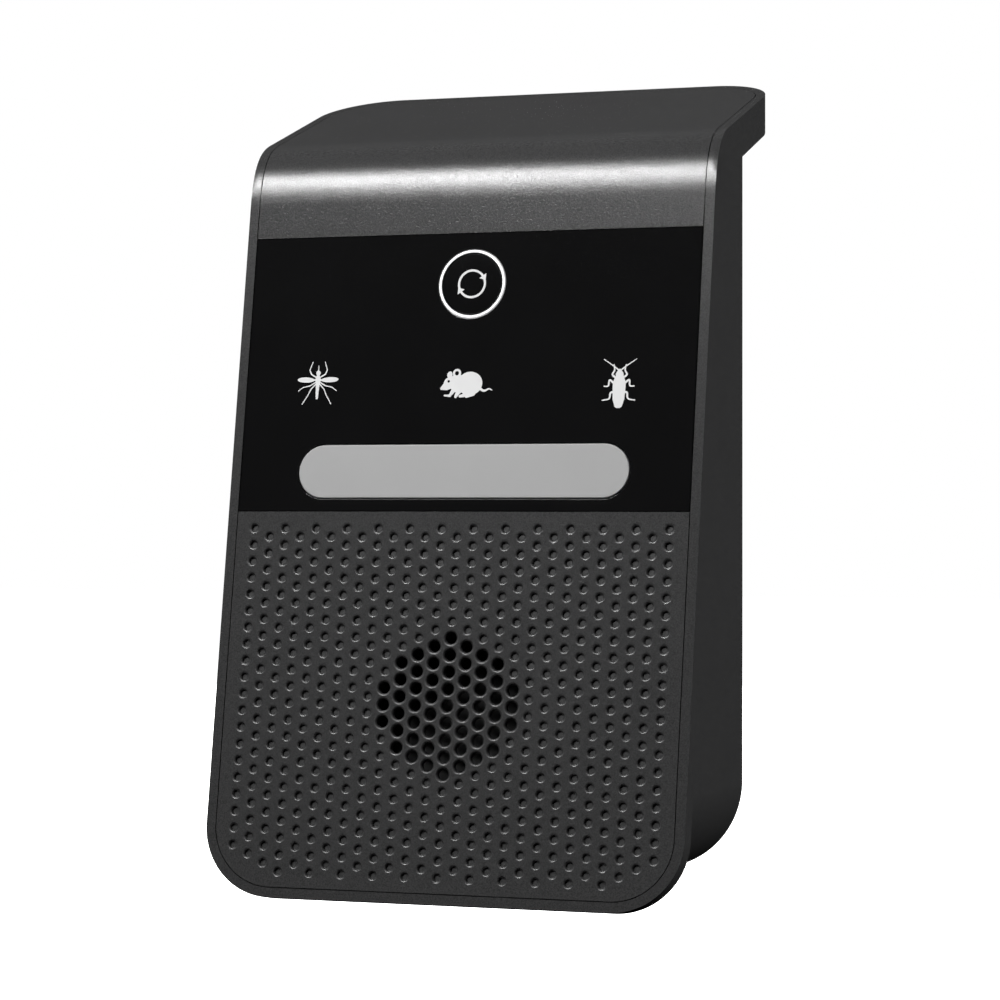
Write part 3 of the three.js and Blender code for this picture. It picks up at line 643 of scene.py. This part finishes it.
bar = prism("y", stadium(0.05, BAR_U, BAR_L, BAR_H, 40), 0, 3.0)
bar = rounded(bar, 0.18, 3, 35, lambda m, e: 1.0 if m.y < 0.05 else 0.0)
bar = join(bar, prism("y", stadium(0.05, BAR_U, BAR_L + 3, BAR_H + 3, 28), INLAY_T + 0.2, 3.0))
piece(lean(bar), "light_bar_window", "diffuser_plastic", stands_for=("light_bar_diffuser",))

ring = turned([(RING_RI, 0.06), (RING_RI + 0.05, 0.0), (RING_RO - 0.05, 0.0), (RING_RO, 0.06), (RING_RO, INLAY_T + 0.2), (7.2, INLAY_T + 0.2), (7.2, 3.0), (RING_RI, 3.0)], 0, BUTTON_U, 128)
ring = piece(lean(ring), "light_ring", "white_plastic", stands_for=("button_light_ring",))
# the guide's inner wall is blacked out as painted shade, so that only its end glows
ring.data.materials.append(MAT["black_plastic"])
for f in ring.data.polygons:
    c = TO_PART.inverted() @ f.center
    r = math.hypot(c.x, c.y * SIN + c.z * COS - BUTTON_U)
    if r < RING_RI + 0.02 and c.y * COS - c.z * SIN > 0.07:
        f.material_index = 1

key = turned([(0, 0.02), (2.2, 0.022), (CAP_R - 0.20, 0.03), (CAP_R - 0.05, 0.05), (CAP_R + 0.03, 0.13), (CAP_R + 0.03, 3.35), (6.2, 3.35), (6.2, 3.95), (3.9, 3.95), (3.9, 1.4), (2.0, 1.4), (2.0, 4.2), (0, 4.2)], 0, BUTTON_U, 128)
piece(lean(key), "mode_key", "button_gloss", "button", stands_for=("mode_button",))


# ------------------------------------------------------------------ printed symbols, each one thin solid of its own
def blob(pts, d0=-0.02, d1=0.03):
    return prism("y", pts, d0, d1)


def ellipse(cx, cz, a, b, turn=0.0, n=40):
    c, s = math.cos(turn), math.sin(turn)
    out = []
    for k in range(n):
        t = 2 * math.pi * k / n
        p, q = a * math.cos(t), b * math.sin(t)
        out.append((cx + p * c - q * s, cz + p * s + q * c))
    return out


def capsule(a, b, w0, w1=None, n=8):
    """A stroke from a to b with round ends, w0 wide at a and w1 at b."""
    w1 = w0 if w1 is None else w1
    t = math.atan2(b[1] - a[1], b[0] - a[0])
    return [*arc(a[0], a[1], w0 / 2, t + HALF_PI, t + 3 * HALF_PI, n), *arc(b[0], b[1], w1 / 2, t - HALF_PI, t + HALF_PI, n)]


def symbol(name, parts, holes, cx, cz, base, slot="print", body="root"):
    """parts and holes are outlines round (0, 0); the symbol lies on the surface at depth base."""
    solid = None
    for k, pts in enumerate(parts):
        s = blob([(cx + p, cz + q) for p, q in pts])
        solid = s if solid is None else join(solid, s)
    for pts in holes:
        solid = cut(solid, blob([(cx + p, cz + q) for p, q in pts], -0.1, 0.1))
    solid.data.transform(Matrix.Translation((0, base, 0)))
    o = piece(lean(solid), name, "white_plastic", body)
    o.data.materials.clear()
    o.data.materials.append(MAT[slot])
    return o


def curve_of(points, n=5):
    """A smooth line through the points (Catmull-Rom)."""
    pts = [points[0], *points, points[-1]]
    out = []
    for p0, p1, p2, p3 in zip(pts, pts[1:], pts[2:], pts[3:]):
        for k in range(n):
            s = k / n
            out.append(tuple(0.5 * (2 * b + (c - a) * s + (2 * a - 5 * b + 4 * c - d) * s * s + (3 * b - a - 3 * c + d) * s ** 3)
                             for a, b, c, d in zip(p0, p1, p2, p3)))
    return out + [points[-1]]


def stroke(points, w0, w1, smooth=True):
    """A tapering line as a row of capsules."""
    line = curve_of(points) if smooth else list(points)
    m = len(line) - 1
    return [capsule(a, b, w0 + (w1 - w0) * k / m, w0 + (w1 - w0) * (k + 1) / m) for k, (a, b) in enumerate(zip(line, line[1:]))]


def mirrored(parts):
    return list(parts) + [[(-p, q) for p, q in pts][::-1] for pts in parts]


# gnat seen from above: slim body, wings spread level, six long jointed legs
gnat = [ellipse(0, 0.35, 0.42, 0.85), ellipse(0, 1.42, 0.36, 0.40), capsule((0, 0.0), (-0.02, -2.45), 0.66, 0.34), capsule((0, 1.7), (0, 2.55), 0.16, 0.10)]
gnat += mirrored([ellipse(1.95, 0.38, 1.38, 0.40, 0.03), capsule((0.2, 0.35), (1.1, 0.36), 0.22, 0.4)])
gnat += mirrored(stroke([(0.3, 0.75), (1.15, 1.25), (1.42, 1.9), (1.0, 3.1)], 0.20, 0.13, False))
gnat += mirrored(stroke([(0.35, 0.0), (1.3, -0.55), (2.3, -0.75), (3.1, -1.3)], 0.18, 0.13, False))
gnat += mirrored(stroke([(0.3, -0.25), (1.05, -1.05), (1.55, -2.1), (2.35, -3.35)], 0.18, 0.13, False))
symbol("gnat_symbol", gnat, [], ICON_X[0] - 0.35, ICON_U + 0.33, -0.012)

# mouse seen from its left side, crouched, muzzle to the left, tail trailing to the right
mouse = [ellipse(0.95, 0.05, 1.95, 1.78, 0.0, 56), ellipse(-0.9, 0.05, 1.35, 1.35, 0.0, 48), ellipse(-2.15, 0.28, 1.15, 0.86, 0.62, 40),
         [(-1.6, 1.25), (-2.7, 0.75), (-3.72, -0.62), (-3.62, -0.86), (-2.6, -0.92), (-1.2, -0.4)],
         ellipse(-1.18, 1.62, 0.66, 0.68), ellipse(-2.3, 1.42, 0.40, 0.50, -0.3), capsule((-1.5, -0.8), (-2.1, -1.72), 0.72, 0.42),
         capsule((-2.1, -1.78), (-2.95, -1.72), 0.40, 0.26), capsule((-0.6, -0.9), (-1.2, -1.92), 0.9, 0.42), capsule((0.6, -1.62), (-0.5, -1.86), 0.62, 0.40),
         capsule((1.5, -1.45), (0.5, -1.92), 0.8, 0.40)]
mouse += stroke([(2.5, -0.55), (3.0, -1.02), (3.5, -1.02), (3.95, -0.78), (4.45, -0.98)], 0.42, 0.16)
symbol("mouse_symbol", mouse, [ellipse(-2.42, 0.42, 0.20, 0.20, 0, 20), ellipse(-1.18, 1.64, 0.32, 0.34, 0, 24)], -0.33, ICON_U - 0.2, -0.012)

# crawler seen from above: long rounded wing cases, narrow head, long feelers, six curved legs
roach = [ellipse(0, -0.1, 1.02, 1.7, 0, 48), [(-1.02, -0.3), (1.02, -0.3), (0.92, -2.3), (0.55, -3.5), (0.28, -3.68), (-0.28, -3.68), (-0.55, -3.5), (-0.92, -2.3)],
         ellipse(0, 1.5, 0.62, 0.82), ellipse(0, 2.2, 0.30, 0.34)]
roach += mirrored(stroke([(0.15, 2.3), (1.1, 3.05), (2.55, 4.05)], 0.24, 0.13))
roach += mirrored(stroke([(0.75, 1.25), (1.15, 1.65), (0.82, 2.35), (0.98, 3.2)], 0.34, 0.17))
roach += mirrored(stroke([(0.9, 0.3), (1.55, 0.75), (1.7, -0.15), (2.35, -0.22)], 0.34, 0.19))
roach += mirrored(stroke([(0.85, -1.15), (1.3, -1.3), (1.5, -2.2), (2.55, -2.45)], 0.36, 0.20))
roach = [[(p * 0.97, q * 0.94) for p, q in pts] for pts in roach]
symbol("crawler_symbol", roach, [], ICON_X[2] - 0.05, ICON_U - 0.62, -0.012)


# two arrows chasing each other round: the usual sign for stepping through modes
def arrow_arc(r, a0, a1, w, head):
    n = 18
    path = [(r * math.cos(a0 + (a1 - a0) * k / n), r * math.sin(a0 + (a1 - a0) * k / n), a0 + (a1 - a0) * k / n) for k in range(n + 1)]
    outer_ = [((r + w / 2) * math.cos(t), (r + w / 2) * math.sin(t)) for _, _, t in path]
    inner_ = [((r - w / 2) * math.cos(t), (r - w / 2) * math.sin(t)) for _, _, t in path][::-1]
    t = a1
    d = 1 if a1 > a0 else -1
    tip = (r * math.cos(t) - d * head * 1.25 * math.sin(t), r * math.sin(t) + d * head * 1.25 * math.cos(t))
    tri = [((r + head) * math.cos(t), (r + head) * math.sin(t)), tip, ((r - head) * math.cos(t), (r - head) * math.sin(t))]
    tri = [(p - d * -0.05 * math.sin(t), q + d * -0.05 * math.cos(t)) for p, q in tri]
    return [outer_ + inner_, tri]


cycle = arrow_arc(2.05, math.radians(200), math.radians(35), 0.34, 0.66) + arrow_arc(2.05, math.radians(20), math.radians(-145), 0.34, 0.66)
symbol("mode_symbol", cycle, [], 0, BUTTON_U, 0.02 - 0.012, "print", "button")

# ------------------------------------------------------------------ rear cover and plug
cov = cav_half - 0.2
cover = prism("y", round_rect(-cov, cov, cav_low + 0.2, CAVITY_TOP - 0.2, BODY_R - WALL - 0.2, 0, 24), COVER_IN, REAR_Y)
cover = rounded(cover, 0.25, 2, 35, lambda m, e: 1.0 if m.y > REAR_Y - 0.05 else 0.0)


def boss_rect(grow, n=20):
    return round_rect(-BOSS_W / 2 - grow, BOSS_W / 2 + grow, PLUG_Z - BOSS_H / 2 - grow, PLUG_Z + BOSS_H / 2 + grow, BOSS_R + grow, BOSS_R + grow, n)


boss = rounded(prism("y", boss_rect(0), COVER_IN + 0.5, REAR_Y + PLUG_LEN), 0.9, 5, 35, lambda m, e: 1.0 if m.y > REAR_Y + PLUG_LEN - 0.05 else 0.0)
cover = join(cover, boss)
cover = cut(cover, prism("y", boss_rect(-BOSS_WALL), COVER_IN - 1, REAR_Y + PLUG_LEN - 2.6))
for s in (-1, 1):
    x = s * BLADE_PITCH / 2
    cover = cut(cover, cuboid(x - BLADE_T / 2 - 0.12, x + BLADE_T / 2 + 0.12, 38, 46, PLUG_Z - BLADE_W / 2 - 0.12, PLUG_Z + BLADE_W / 2 + 0.12))
for x, z in COVER_SCREWS:
    cover = cut(cover, rod(x, z, 1.6, COVER_IN - 1, REAR_Y + 1, 32))
    cover = cut(cover, turned([(0, REAR_Y - 1.2), (2.9, REAR_Y - 1.2), (2.9, REAR_Y - 0.15), (3.05, REAR_Y + 0.001), (3.05, REAR_Y + 1), (0, REAR_Y + 1)], x, z, 48))
for x, z in ((-22, -16), (22, -16), (-22, 49), (22, 49)):
    cover = join(cover, rod(x, z, 1.9, 24.35, COVER_IN + 0.5, 24))
# a shallow moulded frame round the label
frame_cut = prism("y", round_rect(-18.2, 18.2, -9.2, 13.2, 1.9, 1.9, 8), REAR_Y - 0.22, REAR_Y + 1)
frame_cut = cut(frame_cut, prism("y", round_rect(-17.5, 17.5, -8.5, 12.5, 1.4, 1.4, 8), REAR_Y - 1, REAR_Y + 2))
cover = cut(cover, frame_cut)
piece(cover, "rear_cover_shell", "rear_plastic", stands_for=("rear_cover",))

for word, s in (("left", -1), ("right", 1)):
    x = s * BLADE_PITCH / 2
    tip = REAR_Y + PLUG_LEN + BLADE_OUT
    pts = [(31.5, PLUG_Z - 3.15), (tip - 1.6, PLUG_Z - 3.15), *arc(tip - 1.5, PLUG_Z - 1.65, 1.5, -HALF_PI * 0.95, 0, 6), *arc(tip - 1.5, PLUG_Z + 1.65, 1.5, 0, HALF_PI * 0.95, 6), (tip - 1.6, PLUG_Z + 3.15), (31.5, PLUG_Z + 3.15)]
    blade = prism("x", pts, x - BLADE_T / 2, x + BLADE_T / 2)
    hole = turned([(0, -3), (1.6, -3), (1.6, 3), (0, 3)], 0, 0, 40)
    hole.data.transform(Matrix.Rotation(HALF_PI, 4, "Z"))
    hole.data.transform(Matrix.Translation((x, tip - 5.5, PLUG_Z)))
    blade = cut(blade, hole)
    blade = rounded(tidy(blade), 0.22, 3, 35, lambda m, e: 1.0 if m.y > 33 else 0.0)
    blade = join(blade, cuboid(x - 1.6, x + 1.6, 38.9, 40.7, PLUG_Z - 4.6, PLUG_Z + 4.6))
    piece(blade, "blade_" + word, "blade_nickel", stands_for=("plug_blade_" + word,))

for k, (x, z) in enumerate(COVER_SCREWS):
    head = turned([(0, REAR_Y - 1.1), (2.6, REAR_Y - 1.1), (2.65, REAR_Y - 1.0), (2.62, REAR_Y - 0.55), (2.4, REAR_Y - 0.33), (1.8, REAR_Y - 0.16), (0.9, REAR_Y - 0.1), (0, REAR_Y - 0.09)], x, z, 48)
    shank = rod(x, z, 1.1, 21.5 if z > 0 else 13, REAR_Y - 1.0, 24)
    head = join(head, shank)
    a = 0.4 + 0.9 * k
    cross = prism("y", [(1.5, -0.28), (1.5, 0.28), (0.28, 0.28), (0.28, 1.5), (-0.28, 1.5), (-0.28, 0.28), (-1.5, 0.28), (-1.5, -0.28), (-0.28, -0.28), (-0.28, -1.5), (0.28, -1.5), (0.28, -0.28)], REAR_Y - 0.75, REAR_Y + 1)
    cross.data.transform(Matrix.Translation((x, 0, z)) @ Matrix.Rotation(a, 4, "Y"))
    head = cut(head, cross)
    piece(head, f"case_screw_{k + 1}", "steel", stands_for=(f"cover_screw_{k + 1}",))

label = rounded(prism("y", round_rect(-17, 17, -8, 12, 1.5, 1.5, 10), REAR_Y + 0.05, REAR_Y + 0.25), 0.05, 2)
piece(label, "blank_label", "label", stands_for=("rating_plate",))

# ------------------------------------------------------------------ studio
world = bpy.data.worlds.new("studio")
scene.world = world
world.use_nodes = True
world.node_tree.nodes["Background"].inputs["Color"].default_value = (1, 1, 1, 1)
world.node_tree.nodes["Background"].inputs["Strength"].default_value = 1.0
world.cycles_visibility.diffuse = False
world.cycles_visibility.glossy = False
world.cycles_visibility.transmission = False
world.cycles_visibility.scatter = False

floor = made("floor", [(-3, -3, -0.12), (3, -3, -0.12), (3, 3, -0.12), (-3, 3, -0.12)], [[0, 1, 2, 3]])
fm, fnt, fb = nodes_of("floor_white")
fb.inputs["Base Color"].default_value = (0.8, 0.8, 0.8, 1)
fb.inputs["Roughness"].default_value = 0.9
fb.inputs["Specular IOR Level"].default_value = 0.0
geo = fnt.nodes.new("ShaderNodeNewGeometry")
away = fnt.nodes.new("ShaderNodeVectorMath")
away.operation = "LENGTH"
fnt.links.new(geo.outputs["Position"], away.inputs[0])
lift = span(fnt, away.outputs["Value"], 0.62, 1.0, 0.12, 0.32)
fb.inputs["Emission Color"].default_value = (1, 1, 1, 1)
fnt.links.new(lift, fb.inputs["Emission Strength"])
clear = fnt.nodes.new("ShaderNodeBsdfTransparent")
mix = fnt.nodes.new("ShaderNodeMixShader")
fnt.links.new(geo.outputs["Backfacing"], mix.inputs["Fac"])
fnt.links.new(fb.outputs["BSDF"], mix.inputs[1])
fnt.links.new(clear.outputs["BSDF"], mix.inputs[2])
fnt.links.new(mix.outputs["Shader"], [n for n in fnt.nodes if n.type == "OUTPUT_MATERIAL"][0].inputs["Surface"])
floor.data.materials.append(fm)
floor.visible_glossy = False
floor.visible_diffuse = False


def lamp(name, at, aim, size, size_y, power, spread=180):
    data = bpy.data.lights.new(name, "AREA")
    data.shape = "RECTANGLE"
    data.size, data.size_y, data.energy = size, size_y, power
    data.spread = math.radians(spread)
    o = bpy.data.objects.new(name, data)
    link(o)
    o.location = at
    o.rotation_euler = (Vector(aim) - Vector(at)).to_track_quat("-Z", "Y").to_euler()
    o.visible_camera = False
    return o


def around(az, el, dist):
    a, e = math.radians(az), math.radians(el)
    return (dist * math.sin(a) * math.cos(e), -dist * math.cos(a) * math.cos(e), dist * math.sin(e))


def strip(name, a, b, width, power, centre, glossy=True, diffuse=True):
    """A long narrow light whose axis runs from a to b, facing centre."""
    a, b, c = Vector(a), Vector(b), Vector(centre)
    mid, axis = (a + b) / 2, (b - a).normalized()
    back = (mid - c)
    back = (back - axis * back.dot(axis)).normalized()
    data = bpy.data.lights.new(name, "AREA")
    data.shape = "RECTANGLE"
    data.size, data.size_y, data.energy = (b - a).length, width, power
    o = bpy.data.objects.new(name, data)
    link(o)
    o.matrix_world = Matrix.Translation(mid) @ Matrix((axis, back.cross(axis), back)).transposed().to_4x4()
    o.visible_camera = False
    o.visible_glossy, o.visible_diffuse = glossy, diffuse
    return o


# azimuth 0 is in front of the object, positive to its right
MID = (0, -0.01, -0.01)
TOP = Vector((0, -0.03, 0.04))
near, far = Vector(around(-33, 40.4, 1.05)), Vector(around(-20, 40.0, 1.0))
axis = (far - near).normalized()
strip("bend_strip", TOP + near - axis * 0.20, TOP + far + axis * 0.14, 0.09, 10.8, TOP, diffuse=False)


def fill(name, at, size, power, glossy=False):
    o = lamp(name, at, MID, size, size, power)
    o.visible_glossy = glossy
    return o


fill("front_soft", around(-28, 42, 1.1), 0.7, 17.4)
fill("top_soft", around(-20, 85, 1.1), 0.7, 4.5)
fill("back_soft", around(175, 50, 1.1), 0.7, 13.5)
fill("right_fill", around(118, 20, 1.2), 0.7, 18.6)
fill("left_fill", around(-100, 10, 1.2), 0.7, 3.0)
fill("rear_fill", around(-165, 12, 1.3), 0.9, 13.0)
fill("under_fill", around(40, -60, 1.2), 0.9, 0.5)

# soft boxes that only the bare metal sees, so that it has something pale to reflect
bare = bpy.data.collections.new("bare_metal")
for o in list(scene.objects):
    if o.name.startswith(("blade_", "case_screw_")):
        bare.objects.link(o)
for name, at, size, power in (("metal_left", around(-140, 25, 1.1), 1.2, 10.0), ("metal_right", around(128, 30, 1.1), 1.2, 10.0), ("metal_above", around(180, 75, 1.1), 1.0, 6.0),
                              ("metal_front", around(35, -10, 1.1), 1.0, 5.0)):
    o = lamp(name, at, MID, size, size, power)
    o.visible_diffuse = False
    o.light_linking.receiver_collection = bare

scene.view_settings.view_transform = "Standard"
scene.view_settings.look = "None"
scene.view_settings.exposure = 0.0
scene.view_settings.gamma = 1.0
